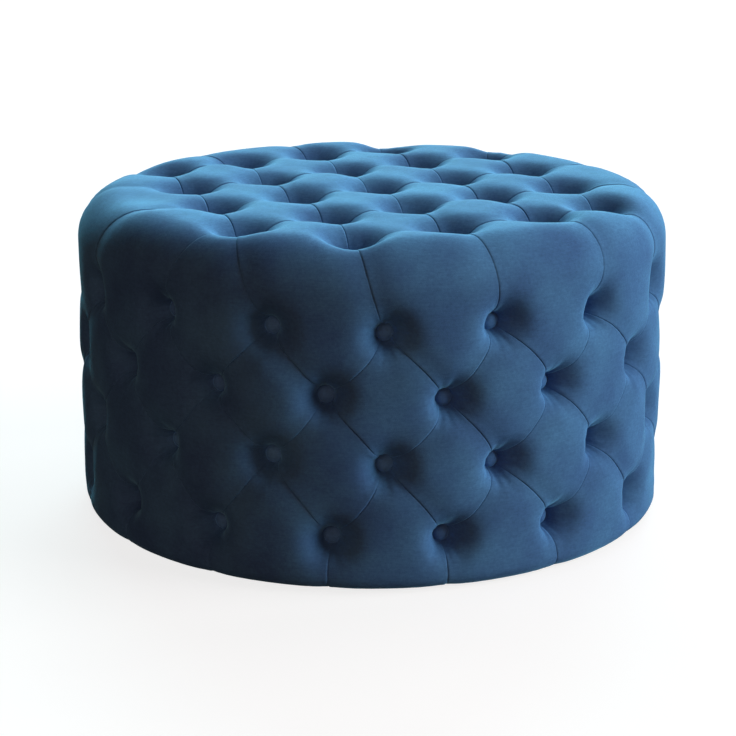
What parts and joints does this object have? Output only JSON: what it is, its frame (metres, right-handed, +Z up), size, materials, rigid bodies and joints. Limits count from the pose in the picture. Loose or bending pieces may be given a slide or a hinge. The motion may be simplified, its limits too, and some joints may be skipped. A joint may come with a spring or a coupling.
{
  "type": "ottoman with storage",
  "caption": "Round deep-buttoned velvet ottoman; its domed lid lifts off along the pleats to open a lined storage well.",
  "frame": {"origin": "centre of the footprint, on the floor under the glides", "axes": "+Z up, -Y towards the front, +X to the right seen from the front"},
  "size_m": [0.8, 0.8, 0.44],
  "materials": {
    "velvet": "short-pile velvet, deep blue, brighter along the nap at grazing angles",
    "foam": "open-cell upholstery foam",
    "plywood": "sanded birch plywood, unfinished",
    "post_wood": "planed softwood, unfinished",
    "hardboard": "bent hardboard, smooth brown face",
    "lining": "tightly woven dark lining cloth on board",
    "twine": "waxed nylon tufting twine",
    "washer": "bright zinc-plated steel",
    "screw": "yellow zinc-plated steel",
    "staple": "galvanised wire",
    "felt": "dense black felt",
    "dust_cloth": "thin black non-woven cloth",
    "glide": "moulded black nail-on glide"
  },
  "bodies": {
    "base": {"body_cover": "velvet", "body_foam": "foam", "wall_panel": "hardboard", "base_board": "plywood", "lower_ring": "plywood", "upper_ring": "plywood", "post_1": "post_wood", "post_2": "post_wood", "post_3": "post_wood", "post_4": "post_wood", "post_5": "post_wood", "post_6": "post_wood", "post_7": "post_wood", "post_8": "post_wood", "storage_liner": "lining", "storage_floor": "lining", "rest_pads": "felt", "buttons_row_2": "velvet", "buttons_row_3": "velvet", "buttons_row_4": "velvet", "twines_row_2": "twine", "twines_row_3": "twine", "twines_row_4": "twine", "washers_row_2": "washer", "washers_row_3": "washer", "washers_row_4": "washer", "upper_ring_screws": "screw", "base_screws": "screw", "dust_cover": "dust_cloth", "glides": "glide", "hem_staples": "staple"},
    "lid": {"lid_cover": "velvet", "lid_top_foam": "foam", "lid_side_foam": "foam", "lid_top_board": "plywood", "lid_skirt": "hardboard", "lid_blocks": "plywood", "locating_ring": "plywood", "lid_lining": "lining", "lid_top_buttons": "velvet", "lid_side_buttons": "velvet", "lid_top_twines": "twine", "lid_side_twines": "twine", "lid_top_washers": "washer", "lid_side_washers": "washer", "lid_block_screws": "screw", "locating_ring_screws": "screw"}
  },
  "joints": [
    {"name": "lid_lift", "type": "slide", "parent": "base", "child": "lid", "axis": [0, 0, 1], "range_m": [0, 0.35]}
  ]
}
